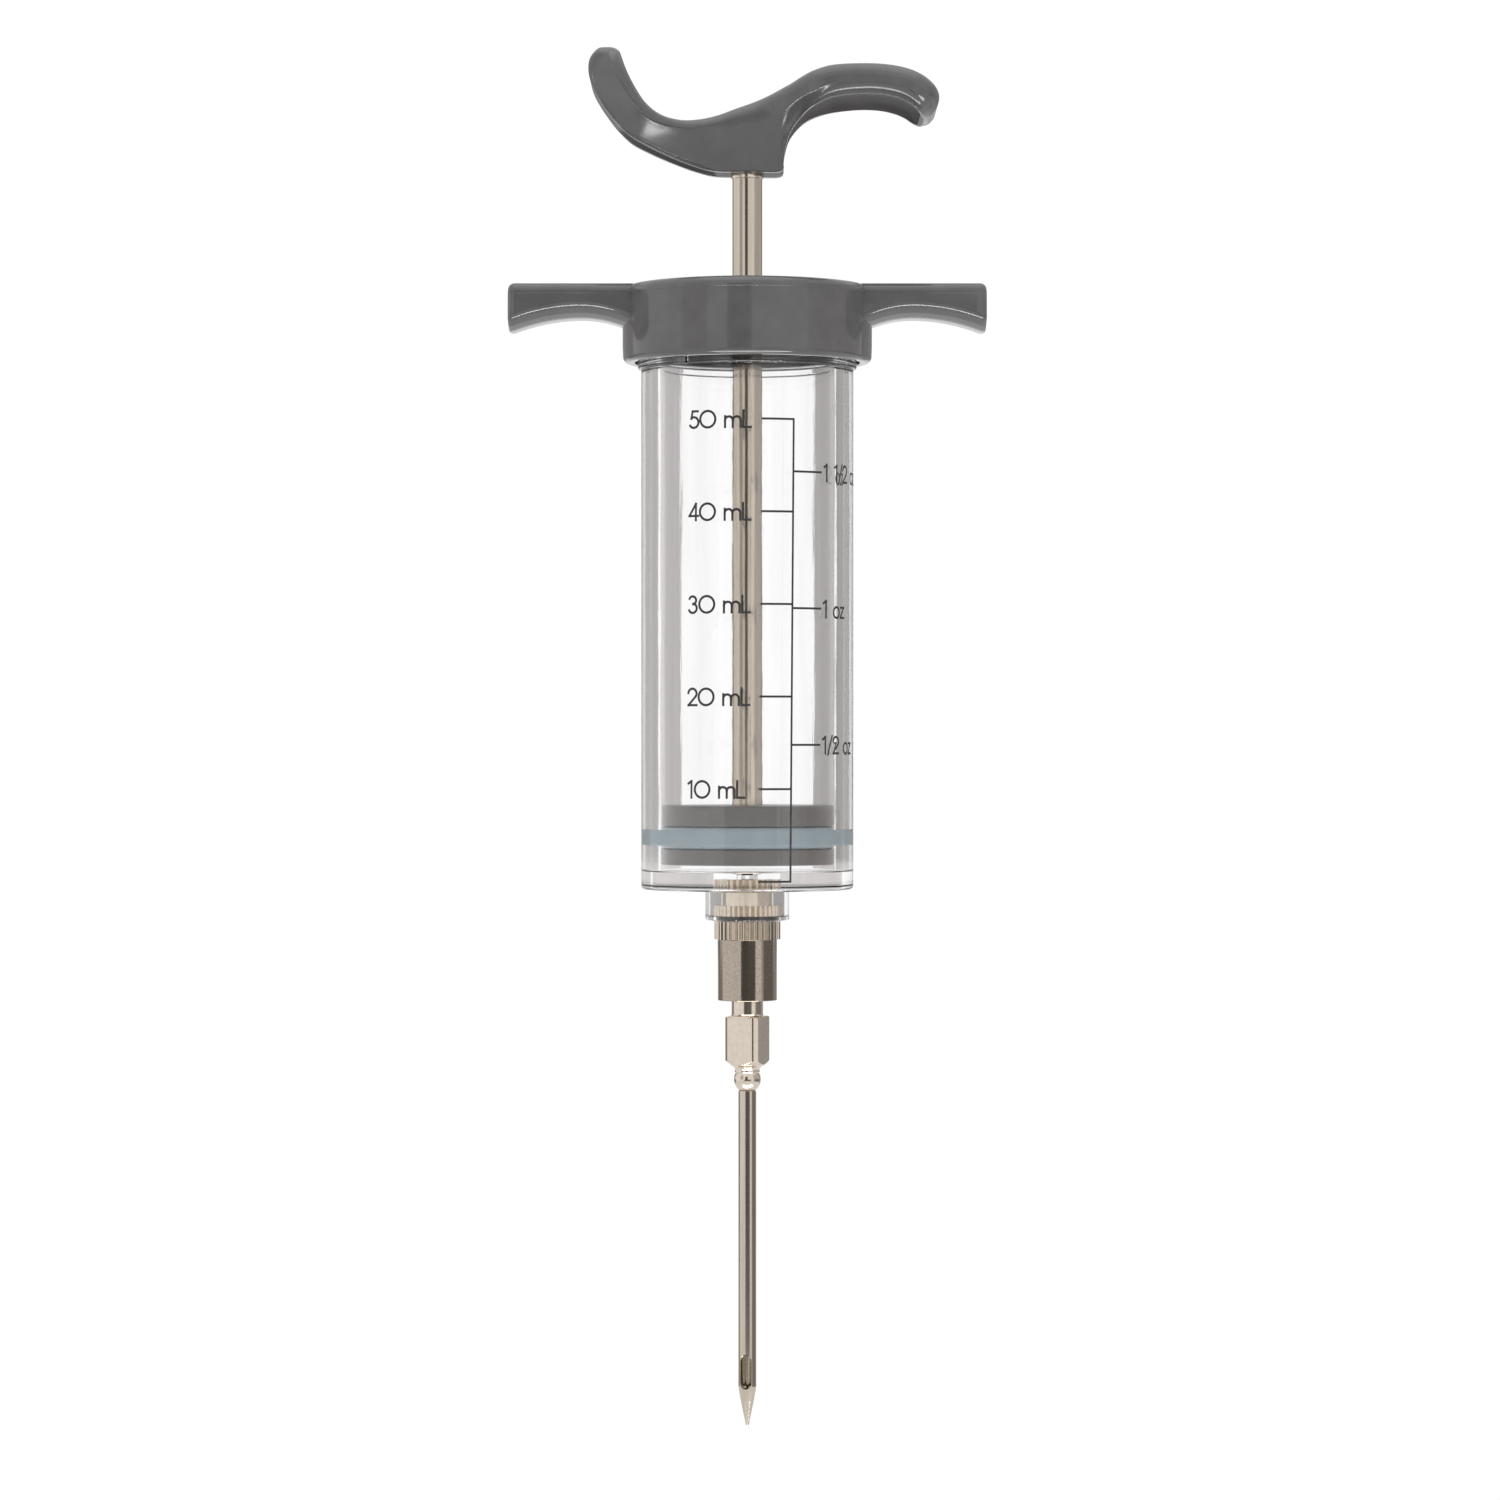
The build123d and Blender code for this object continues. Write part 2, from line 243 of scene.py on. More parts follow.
floor_white = surface("floor_white", (0.80, 0.80, 0.80), (0.84, 0.84, 0.84), 0.8, scale=4)


# ---- camera and light ---------------------------------------------------------------
# Level view along +Y from 0.8 m, centred a little below the middle of the object.
camera = bpy.data.objects.new("camera", bpy.data.cameras.new("camera"))
bpy.context.collection.objects.link(camera)
camera.data.sensor_width = 36.0
camera.data.lens = 115.2
camera.location = (0.45 * MM, -800 * MM, 21.5 * MM)
camera.rotation_euler = (math.radians(90), 0, 0)
bpy.context.scene.camera = camera
bpy.context.scene.view_settings.view_transform = "Standard"

world = bpy.data.worlds.new("studio")
bpy.context.scene.world = world
world.use_nodes = True
world.node_tree.nodes["Background"].inputs["Color"].default_value = (1, 1, 1, 1)
world.node_tree.nodes["Background"].inputs["Strength"].default_value = 1.03


def area_light(name, place, aim, width, height, power, glossy_only=False):
    lamp = bpy.data.lights.new(name, "AREA")
    lamp.shape = "RECTANGLE"
    lamp.size, lamp.size_y = width, height
    lamp.energy = power
    lamp.cycles.max_bounces = 1024
    light = bpy.data.objects.new(name, lamp)
    light.location = place
    light.rotation_euler = (Vector(aim) - Vector(place)).to_track_quat("-Z", "Y").to_euler()
    light.visible_camera = False
    light.visible_diffuse = not glossy_only
    light.visible_transmission = not glossy_only
    bpy.context.collection.objects.link(light)


area_light("top_softbox", (0, -0.2, 1.2), (0, 0, 0), 1.2, 1.2, 4.0)
area_light("low_strip", (0.02, -0.11, -0.25), (0.02, 0, 0.10), 0.34, 0.11, 1.7, glossy_only=True)


def flag(name, azimuth, width, distance, tone, low=-0.5, high=0.6, through=True):
    """Tall curved grey card seen only in reflections and, if asked, through the clear barrel."""
    rings = []
    for z in (low, high):
        for k in range(9):
            a = math.radians(azimuth - width / 2 + width * k / 8)
            rings.append((distance * math.sin(a), distance * math.cos(a), z))
    mesh = bpy.data.meshes.new(name)
    mesh.from_pydata(rings, [], [(k, k + 1, k + 10, k + 9) for k in range(8)])
    card = bpy.data.objects.new(name, mesh)
    bpy.context.collection.objects.link(card)
    material, tree, shader = new_material(name)
    shader.inputs["Base Color"].default_value = (0, 0, 0, 1)
    shader.inputs["Specular IOR Level"].default_value = 0.0
    dark, light = (tone, tone * 0.96, tone * 0.95, 1), (tone * 1.2, tone * 1.15, tone * 1.14, 1)
    noise, ramp = noise_ramp(tree, 6.0, (1, 1, 0.2), dark, light)
    tree.links.new(ramp.outputs["Color"], shader.inputs["Emission Color"])
    shader.inputs["Emission Strength"].default_value = 1.0
    mesh.materials.append(material)
    card.visible_camera = False
    card.visible_diffuse = False
    card.visible_transmission = through
    card.visible_shadow = False


# Seen from above, 0 degrees is behind the object and 180 is the camera's side.
# The cards behind are in three bands: what the barrel's wall, its floor and its neck refract.
FLOOR_BAND, NECK_BAND, NEEDLE_BAND = -0.018, -0.0285, -0.051
flag("back_left", -31, 39, 0.9, 0.38, low=FLOOR_BAND)
flag("back_right", 31, 39, 0.9, 0.31, low=FLOOR_BAND)
flag("floor_left", -31, 39, 0.9, 0.60, low=NECK_BAND, high=FLOOR_BAND)
flag("floor_right", 31, 39, 0.9, 0.55, low=NECK_BAND, high=FLOOR_BAND)
flag("neck_left", -31, 39, 0.9, 0.30, low=NEEDLE_BAND, high=NECK_BAND)
flag("neck_right", 31, 39, 0.9, 0.30, low=NEEDLE_BAND, high=NECK_BAND)
flag("side_right", 88, 70, 1.0, 0.55)
flag("side_left", -131, 25, 1.0, 0.52, low=0.0)
flag("side_right_low", 87, 54, 0.95, 0.22, high=0.0, through=False)
flag("back_right_low", 38, 44, 0.95, 0.38, high=NEEDLE_BAND, through=False)
flag("back_left_low", -47, 42, 0.95, 0.30, high=NEEDLE_BAND, through=False)
flag("front_high", 187, 22, 1.3, 0.12, low=0.0)
flag("front_low", 176.5, 56, 1.3, 0.12, high=0.0, through=False)

ground = bpy.data.meshes.new("ground")
FLOOR_HEIGHT, FLOOR_SIDE, FLOOR_BACK = -0.26, 1.6, 0.88
ground.from_pydata([(-FLOOR_SIDE, -FLOOR_SIDE, FLOOR_HEIGHT), (FLOOR_SIDE, -FLOOR_SIDE, FLOOR_HEIGHT),
                    (FLOOR_SIDE, FLOOR_BACK, FLOOR_HEIGHT), (-FLOOR_SIDE, FLOOR_BACK, FLOOR_HEIGHT)],
                   [], [(0, 1, 2, 3)])
ground.materials.append(floor_white)
floor = bpy.data.objects.new("ground", ground)
bpy.context.collection.objects.link(floor)


# ---- barrel -------------------------------------------------------------------------
BARREL_R, BORE_R, BEAD_R = 17.7, 14.52, 18.25
NECK_R, RING_SEAT_R = 7.0, 5.3
NECK_TOP, FLOOR_Z = -1.7, 1.3           # outer and inner face of the barrel's floor
BUSH_LOW, BUSH_TOP = -6.2, 0.1
barrel_low, barrel_top = span("barrel")
cap_low, cap_top = span("cap")
bead_low, bead_top = cap_low - 1.1, cap_low + 0.4
barrel_outline = rounded([
    (BARREL_R, barrel_top, 0.4), (BARREL_R, bead_top, 0.15), (BEAD_R, bead_top, 0.35),
    (BEAD_R, bead_low, 0.35), (BARREL_R, bead_low, 0.15), (BARREL_R, NECK_TOP, 0.6),
    (NECK_R, NECK_TOP, 0.4), (NECK_R, barrel_low, 0.35), (RING_SEAT_R, barrel_low, 0.1),
    (RING_SEAT_R, BUSH_LOW, 0), (2.8, BUSH_LOW, 0), (2.8, BUSH_TOP, 0),
    (1.2, BUSH_TOP, 0), (1.2, 0.8, 0), (2.3, FLOOR_Z, 0),
    (BORE_R, FLOOR_Z, 0.3), (BORE_R, barrel_top, 0.3),
])
add_piece("barrel_wall", *lathe(barrel_outline, 256), "barrel_body", acrylic, "clear_acrylic",
          replaces=("barrel",))
for index, start in enumerate((72, 252)):
    add_piece(f"barrel_lug_{index}", *sector(17.5, 19.2, 91.0, 93.0, start, 36), "barrel_body",
              acrylic, "clear_acrylic")
add_piece("barrel_stop_lug", *sector(17.5, 18.6, bead_low, cap_low + 0.6, 230, 7),
          "barrel_body", acrylic, "clear_acrylic")


def groove(a, teeth, share=0.5):
    """0 on the land of a knurl's tooth and up to 1 at the bottom of the V between two teeth."""
    wave = abs((a * teeth / (2 * math.pi)) % 1.0 - 0.5) * 2
    return max(0.0, (wave - 1 + share) / share)


BUSH_R, BUSH_BORE_R, BUSH_WAIST_R = 3.78, 2.5, 2.9
WAIST_LOW, WAIST_TOP = -4.4, -2.2       # the smooth waist between the two knurled bands
bush_outline = [(BUSH_BORE_R, BUSH_LOW), (BUSH_R, BUSH_LOW), (BUSH_R, BUSH_LOW + 0.2),
                (BUSH_R, WAIST_LOW - 0.2), (BUSH_R, WAIST_LOW), (BUSH_WAIST_R, WAIST_LOW),
                (BUSH_WAIST_R, WAIST_TOP), (BUSH_R, WAIST_TOP), (BUSH_R, WAIST_TOP + 0.2),
                (BUSH_R, BUSH_TOP - 0.2), (BUSH_R, BUSH_TOP), (BUSH_BORE_R, BUSH_TOP)]


def bush_shape(r, z, a):
    """Knurl of 28 teeth on the bands of the bush."""
    return r - 0.38 * groove(a, 28, 0.7) if r > 3.6 else r


add_piece("neck_bush", *lathe(bush_outline, 280, bush_shape), "barrel_body", nickel, "plated_metal",
          replaces=("neck_insert",))


# ---- printed scale ------------------------------------------------------------------
# A single-stroke alphabet, one unit high, drawn as thin ribbons wrapped on the barrel.
def arc(x, y, rx, start, end, ry=None, steps=18):
    ry = rx if ry is None else ry
    out = []
    for k in range(steps + 1):
        a = math.radians(mix(start, end, k / steps))
        out.append((x + rx * math.cos(a), y + ry * math.sin(a)))
    return out


GLYPHS = {
    "0": (1.10, [arc(0.49, 0.5, 0.49, 0, 360, 0.5, 36)]),
    "1": (0.52, [[(0.06, 0.86), (0.28, 1.0), (0.28, 0.0)]]),
    "2": (0.74, [arc(0.30, 0.71, 0.29, 175, -38) + [(0.02, 0.0), (0.60, 0.0)]]),
    "3": (0.74, [arc(0.27, 0.75, 0.24, 155, -80), arc(0.28, 0.27, 0.28, 82, -155)]),
    "4": (0.74, [[(0.46, 0.0), (0.46, 1.0), (0.0, 0.26), (0.62, 0.26)]]),
    "5": (0.72, [[(0.54, 1.0), (0.18, 1.0), (0.10, 0.55)] + arc(0.27, 0.32, 0.32, 122, -145)]),
    "m": (1.12, [[(0.0, 0.0), (0.0, 0.66)], arc(0.24, 0.40, 0.24, 180, 0) + [(0.48, 0.0)],
                 arc(0.72, 0.40, 0.24, 180, 0) + [(0.96, 0.0)]]),
    "L": (0.55, [[(0.0, 1.0), (0.0, 0.0), (0.46, 0.0)]]),
    "o": (0.74, [arc(0.31, 0.31, 0.31, 0, 360, 0.33, 28)]),
    "z": (0.55, [[(0.04, 0.62), (0.46, 0.62), (0.02, 0.0), (0.50, 0.0)]]),
    "/": (0.50, [[(0.0, -0.08), (0.40, 1.06)]]),
    " ": (0.50, []),
}
INK_R = BARREL_R + 0.03
TILT = 0.0079              # the print leans a little, in millimetres per millimetre
TILT_ABOUT = 38            # height at which the lean is nil
LINE_WIDTH = 0.35
LETTER_STROKE = 0.38
LETTER_HEIGHT = 2.68


def ribbon(points, width, verts, faces):
    """Adds a flat stroke along (arc length, height) points to a mesh on the barrel's front."""
    for (ax, az), (bx, bz) in zip(points, points[1:]):
        length = math.hypot(bx - ax, bz - az)
        ux, uz = (bx - ax) / length * width / 2, (bz - az) / length * width / 2
        base = len(verts)
        corners = [(ax - ux - uz, az - uz + ux), (ax - ux + uz, az - uz - ux),
                   (bx + ux + uz, bz + uz - ux), (bx + ux - uz, bz + uz + ux)]
        for x, z in corners:
            a = (x + TILT * (z - TILT_ABOUT)) / INK_R
            verts.append((INK_R * math.sin(a), -INK_R * math.cos(a), z))
        faces.append((base, base + 1, base + 2, base + 3))


def scale_line(start, end, steps, verts, faces):
    """A line of the scale, in short pieces so that it follows the barrel."""
    points = [(mix(start[0], end[0], k / steps), mix(start[1], end[1], k / steps)) for k in range(steps + 1)]
    for pair in zip(points, points[1:]):
        ribbon(pair, LINE_WIDTH, verts, faces)


def lettering(text, left, centre, verts, faces):
    x = left
    for char in text:
        advance, strokes = GLYPHS[char]
        for stroke_points in strokes:
            placed = [(x + px * LETTER_HEIGHT, centre + (py - 0.5) * LETTER_HEIGHT)
                      for px, py in stroke_points]
            ribbon(placed, LETTER_STROKE, verts, faces)
        x += advance * LETTER_HEIGHT


TEN_ML = 15.11                          # height of ten millilitres
OUNCE = 2.957 * TEN_ML
LINE_X, ML_MARK_X, OZ_MARK_X = 7.55, 2.25, 13.1
ML_TEXT_X, OZ_TEXT_X, TEXT_DROP = -10.15, 13.7, 0.05
verts, faces = [], []
scale_line((LINE_X, 0), (LINE_X, 5 * TEN_ML), 20, verts, faces)
for tens in range(6):
    z = tens * TEN_ML
    scale_line((ML_MARK_X, z), (LINE_X, z), 6, verts, faces)
    if tens:
        lettering(f"{tens}0 mL", ML_TEXT_X, z - TEXT_DROP, verts, faces)
for ounces, label in ((1.5, "1 1/2 oz"), (1.0, "1 oz"), (0.5, "1/2 oz")):
    z = ounces * OUNCE
    scale_line((LINE_X, z), (OZ_MARK_X, z), 6, verts, faces)
    lettering(label, OZ_TEXT_X, z - TEXT_DROP, verts, faces)
add_piece("printed_scale", verts, faces, "barrel_body", ink, "black_rubber", sharp=180)


# ---- cap ----------------------------------------------------------------------------
CAP_R = 20.875
CEILING, LEDGE_TOP, LEDGE_LOW = 95.7, 90.9, 88.0
SEAM_DROP, SEAM_STEP = 1.7, 0.07        # the mould's parting line below the cap's top
seam_z = cap_top - SEAM_DROP
cap_outline = rounded([
    (20.7, cap_low, 1.0), (20.8, cap_low + 2.8, 3.0), (20.8, seam_z - 0.05, 0.1), (CAP_R, seam_z, 0.05),
    (CAP_R, cap_top, 1.4), (2.62, cap_top, 0.25),
    (2.62, CEILING, 0), (19.5, CEILING, 0.4), (19.5, LEDGE_TOP, 0), (18.05, LEDGE_TOP, 0),
    (18.05, LEDGE_LOW, 0.2), (18.75, LEDGE_LOW, 0), (18.75, cap_low, 0.2),
])
add_piece("cap_ring", *lathe(cap_outline, 256), "cap_body", grey_plastic, "grey_abs", replaces=("cap",))


WING_REACH = span("cap", 0)[1]
WING_HALF = 8.0
WING_END = 1.1              # rounding of the wing's free end
WING_ROOT = 20.15           # radius inside the ring's wall at which the wing starts
ARCH_X, ARCH_Z = 27.5, 94.9                # crest of the hollow under a wing
ARCH_INNER, ARCH_OUTER = 0.0287, 0.0168    # how fast it falls away on either side of the crest


def wing_ring(side, x):
    """Section of a finger wing: flat top, upright sides and a crowned underside."""
    bend = ARCH_OUTER if x > ARCH_X else ARCH_INNER
    past = max(0.0, x - (WING_REACH - WING_END)) / WING_END
    inset = WING_END * (1 - math.sqrt(max(0.0, 1 - past * past)))
    top, half = cap_top - 0.02 - inset, WING_HALF - inset
    edge = ARCH_Z - bend * (x - ARCH_X) ** 2 + inset * 0.4
    seam = top - SEAM_DROP
    upper = half - SEAM_STEP
    section = rounded([(-upper, top, 1.4), (upper, top, 1.4), (upper, seam, 0), (half, seam - SEAM_STEP, 0),
                       (half, edge, 1.2), (half - 2.4, edge - 1.05, 2.0), (half - 5, edge - 1.7, 8.0),
                       (5 - half, edge - 1.7, 8.0), (2.4 - half, edge - 1.05, 2.0), (-half, edge, 1.2),
                       (-half, seam - SEAM_STEP, 0), (-upper, seam, 0)])
    return [(side * max(x, math.sqrt(WING_ROOT ** 2 - y * y)), y, z) for y, z in section]


wing_end_x = WING_REACH - WING_END
stations = [18.3] + [mix(20.3, wing_end_x, k / 28) for k in range(29)]
stations += [wing_end_x + WING_END * math.sin(math.radians(a)) for a in (20, 40, 55, 70, 80, 90)]
for side, label in ((1, "right"), (-1, "left")):
    add_piece(f"cap_wing_{label}", *loft([wing_ring(side, x) for x in stations]), "cap_body",
              grey_plastic, "grey_abs")


# ---- handle -------------------------------------------------------------------------
# Stations from the hook's tip to the nose. Each has the upper and lower point of the front
# view, the half width above and below, the top fillet, the rim rounding, how deep the solid
# reaches (1 where the section is not hollow), and where the side starts to turn in and over
# what length it does so.
HANDLE = [
    # top x, top z,  low x, low z,  wide, foot, fillet, rim, solid, drop, blend
    (-23.10, 137.64, -23.35, 137.62, 6.0, 6.0, 0.1, 0.1, 1, 0.0, 1.0),
    (-22.00, 137.36, -24.50, 137.34, 9.0, 8.9, 0.9, 0.9, 1, 0.3, 2.0),
    (-21.10, 136.70, -25.60, 136.20, 10.4, 10.0, 1.6, 1.6, 1, 0.6, 3.0),
    (-20.70, 135.70, -26.15, 134.95, 11.4, 9.6, 2.0, 1.4, 1, 0.8, 9.0),
    (-20.10, 134.00, -26.20, 133.30, 11.9, 8.6, 2.0, 0.9, 1, 1.0, 9.0),
    (-19.40, 132.40, -25.75, 131.60, 11.8, 7.4, 2.0, 0.6, 1, 1.0, 9.0),
    (-18.40, 130.60, -24.85, 129.80, 11.3, 6.4, 2.0, 0.5, 1, 1.0, 9.0),
    (-17.10, 128.65, -23.60, 127.80, 10.7, 5.7, 2.0, 0.45, 1, 1.0, 9.0),
    (-15.40, 127.10, -21.80, 125.50, 9.9, 6.2, 2.0, 0.4, 1, 1.0, 9.0),
    (-13.40, 126.15, -19.40, 123.20, 9.0, 6.6, 2.1, 0.35, 0.6, 1.0, 9.0),
    (-10.70, 125.70, -16.40, 121.50, 8.1, 6.1, 2.1, 0.35, 0.55, 1.0, 9.0),
    (-7.90, 125.90, -12.60, 119.75, 7.6, 5.3, 2.1, 0.35, 0.55, 1.1, 10.0),
    (-4.85, 126.60, -8.60, 118.25, 7.4, 4.9, 2.1, 0.35, 0.6, 1.3, 12.0),
    (-2.00, 127.65, -5.00, 117.42, 7.4, 4.6, 2.1, 0.3, 1, 1.6, 12.0),
    (1.00, 128.70, 0.60, 117.40, 7.5, 4.6, 2.1, 0.3, 1, 2.0, 12.0),
    (3.40, 129.70, 5.55, 117.42, 7.9, 4.7, 2.1, 0.3, 1, 2.6, 12.0),
    (4.60, 130.25, 6.00, 119.30, 8.5, 5.0, 2.1, 0.4, 1, 3.0, 12.0),
    (5.90, 130.85, 6.35, 121.40, 9.4, 5.0, 2.1, 0.5, 1, 3.4, 12.0),
    (7.40, 131.60, 7.10, 123.80, 10.1, 5.8, 2.1, 0.3, 0.9, 3.5, 12.0),
    (9.10, 132.60, 8.80, 126.10, 10.8, 7.4, 2.1, 0.3, 0.7, 3.5, 12.0),
    (11.00, 133.50, 10.90, 127.75, 11.5, 9.6, 2.1, 0.4, 0.6, 3.6, 12.0),
    (14.10, 134.32, 14.10, 128.95, 12.0, 11.8, 2.1, 1.4, 0.58, 3.2, 1.0),
    (18.80, 134.58, 18.60, 129.48, 12.0, 12.0, 2.1, 1.6, 0.58, 3.2, 1.0),
    (22.80, 134.42, 22.20, 129.38, 12.0, 12.0, 2.1, 1.6, 0.58, 3.2, 1.0),
    (26.20, 133.80, 24.90, 128.80, 12.0, 12.0, 2.1, 1.6, 0.58, 3.2, 1.2),
    (28.80, 132.70, 26.60, 128.05, 12.0, 11.8, 2.1, 1.4, 0.6, 3.5, 1.5),
    (30.60, 131.30, 27.60, 127.30, 11.6, 11.3, 2.1, 1.2, 0.65, 3.0, 2.0),
    (31.50, 130.00, 28.20, 126.85, 10.8, 10.4, 2.1, 1.0, 0.8, 2.2, 2.5),
    (31.68, 128.90, 28.60, 126.55, 9.6, 9.2, 1.8, 0.8, 1, 1.5, 2.5),
    (31.30, 127.60, 28.90, 126.30, 8.2, 7.9, 1.1, 0.5, 1, 0.9, 2.0),
    (30.40, 126.50, 29.30, 126.15, 6.0, 5.7, 0.3, 0.2, 1, 0.3, 1.0),
]


def curve_through(rows, fine):
    """Catmull-Rom curve through rows of numbers."""
    out = []
    last = len(rows) - 1
    for i in range(last):
        p0, p1, p2, p3 = rows[max(i - 1, 0)], rows[i], rows[i + 1], rows[min(i + 2, last)]
        for k in range(fine):
            t = k / fine
            out.append([
                0.5 * (2 * b + (c - a) * t + (2 * a - 5 * b + 4 * c - d) * t * t
                       + (3 * b - a - 3 * c + d) * t ** 3)
                for a, b, c, d in zip(p0, p1, p2, p3)])
    out.append(list(rows[-1]))
    return out


def lean(t, soft):
    """0 to 1 with a soft start and a straight rest."""
    if t < soft:
        return t * t / (2 * soft) / (1 - soft / 2)
    return (t - soft / 2) / (1 - soft / 2)


def handle_ring(row):
    """One section: crowned top, filleted shoulders, waisted sides, rounded rim, hollow below."""
    top_x, top_z, low_x, low_z, wide, foot, fillet, rim, solid, drop, blend = row
    height = math.hypot(low_x - top_x, low_z - top_z)
    fillet = max(0.02, min(fillet, height * 0.48))
    rim = max(0.02, min(rim, height * 0.48, foot * 0.4))
    wall = min(2.0, foot * 0.34)
    solid = max(0.3, min(1.0, solid))
    lip = 0.3 * max(0.0, min(1.0, (1 - solid) * 3))
    reach = max(0.1, min(blend, height - rim - lip - drop))
    soft = mix(0.35, 0.15, max(0.0, min(1.0, (top_x + 4) / 10)))
    side = []
    for k in range(5):
        side.append(((wide - fillet) * k / 5, 0.0))
    for k in range(7):
        a = math.radians(90 * k / 6)
        side.append((wide - fillet + fillet * math.sin(a), fillet * (1 - math.cos(a))))
    for k in range(1, 21):
        depth = mix(fillet, height - rim - lip, k / 21)
        t = max(0.0, min(1.0, (depth - drop) / reach))
        side.append((mix(wide, foot, lean(t, soft)), depth))
    for k in range(7):
        a = math.radians(84 * k / 6)
        side.append((foot - rim + rim * math.cos(a), height - lip - rim + rim * math.sin(a)))
    side.append((foot - rim * 0.92, height - lip * 0.35))
    side.append((foot - rim * 0.92 - 0.12, height))
    inner = max(0.3, min(foot - wall, foot - rim - 0.14))
    roof = height * solid
    for share, rise in ((1, 0), (0.98, 0.3), (0.9, 0.62), (0.75, 0.85), (0.5, 0.96), (0, 1)):
        side.append((inner * share, mix(height, roof, rise)))
    full = side + [(-y, d) for y, d in reversed(side[1:-1])]
    ring = []
    for y, d in full:
        t = d / height
        ring.append((mix(top_x, low_x, t), y, mix(top_z, low_z, t)))
    return ring


handle_rings = [handle_ring(row) for row in curve_through(HANDLE, 5)]
grip = add_piece("grip", *loft(handle_rings), "plunger_body", satin_plastic, "grey_abs", sharp=48,
                 replaces=("handle",))
grip.data.materials.append(matt_plastic)           # for the hollow's faces
ring_size = len(handle_rings[0])
half_size = ring_size // 2 + 1
hollow = range(half_size - 6, half_size + 4)       # places in a ring that lie in the hollow
for face in grip.data.polygons:
    if face.index < ring_size * (len(handle_rings) - 1) and face.index % ring_size in hollow:
        face.material_index = 1
insert_low, COLLAR_IN_GRIP, INSERT_R = span("handle_insert")[0], 117.5, 2.7
collar = rounded([(0, insert_low, 0), (INSERT_R, insert_low, 0.12), (INSERT_R, COLLAR_IN_GRIP, 0),
                  (0, COLLAR_IN_GRIP, 0)])
add_piece("grip_collar", *lathe(collar, 96, closed=False), "plunger_body", nickel, "plated_metal",
          replaces=("handle_insert",))


# ---- plunger ------------------------------------------------------------------------
ROD_R, PISTON_R = 2.5, 14.4
STUD_R, STUD_LOW = 2.0, 3.6             # the rod's thinner end in the lower disc
GROOVE_R, groove_low = 11.2, 5.1        # the seal's groove
SEAL_IN, SEAL_OUT = 11.4, 14.6
piston_low = span("piston_lower")[0]
groove_top, piston_top = span("piston_upper")
rod = rounded([(0, STUD_LOW, 0), (STUD_R, STUD_LOW, 0.2), (STUD_R, groove_top, 0), (ROD_R, groove_top, 0),
               (ROD_R, insert_low, 0), (0, insert_low, 0)])
add_piece("rod", *lathe(rod, 96, closed=False), "plunger_body", steel, "stainless",
          replaces=("plunger_rod",))
upper = rounded([(ROD_R, groove_top, 0), (PISTON_R, groove_top, 0.25), (PISTON_R, piston_top, 0.35),
                 (ROD_R, piston_top, 0)])
add_piece("piston_top_disc", *lathe(upper, 192), "plunger_body", piston_plastic, "grey_piston",
          replaces=("piston_upper",))
lower = rounded([(0, piston_low, 0), (PISTON_R, piston_low, 0.35), (PISTON_R, groove_low, 0.25),
                 (GROOVE_R, groove_low, 0), (GROOVE_R, groove_top, 0), (STUD_R, groove_top, 0),
                 (STUD_R, STUD_LOW, 0), (0, STUD_LOW, 0)])
add_piece("piston_low_disc", *lathe(lower, 192), "plunger_body", piston_plastic, "grey_piston",
          replaces=("piston_lower",))
seal_low, seal_top = groove_low + 0.05, groove_top - 0.05
seal = rounded([(SEAL_IN, seal_low, 0.3), (SEAL_OUT, seal_low, 0.9), (SEAL_OUT, seal_top, 0.9),
                (SEAL_IN, seal_top, 0.3)])
add_piece("seal_ring", *lathe(seal, 192), "seal_body", silicone, "silicone", replaces=("piston_seal",))


# ---- tip fitting --------------------------------------------------------------------
ring_low, ring_top = span("tip_ring")
RING_BORE, RING_R = 2.9, 5.26
tip_ring = rounded([(RING_BORE, ring_low, 0.2), (RING_R, ring_low, 0.12), (RING_R, ring_top, 0.12),
                    (RING_BORE, ring_top, 0.2)])
add_piece("tip_washer", *lathe(tip_ring, 96), "ring_body", black_rubber, "black_rubber",
          replaces=("tip_ring",))

COLLAR_R, PASSAGE_R = 5.53, 0.9
THREAD_ROOT, THREAD_CREST = 2.12, 2.42
CONE_END, STUB_TOP = -19.2, -2.2
collar_low, collar_top = -10.0, ring_low
thread = [(THREAD_CREST if i % 2 else THREAD_ROOT, z * 0.1) for i, z in enumerate(range(-21, -68, -4))]
fitting = [(PASSAGE_R, CONE_END), (1.924, CONE_END), (2.2, collar_low)]
fitting += [(5.0, collar_low), (COLLAR_R, collar_low), (COLLAR_R, collar_low + 0.1),
            (COLLAR_R, collar_top - 0.1), (COLLAR_R, collar_top), (5.0, collar_top),
            (THREAD_ROOT, collar_top)]
fitting += list(reversed(thread)) + [(2.1, STUB_TOP), (PASSAGE_R, STUB_TOP)]


def collar_shape(r, z, a):
    """Knurl of 36 teeth on the collar's rim."""
    return r - 0.45 * groove(a, 36, 0.7) if r > 5.3 else r


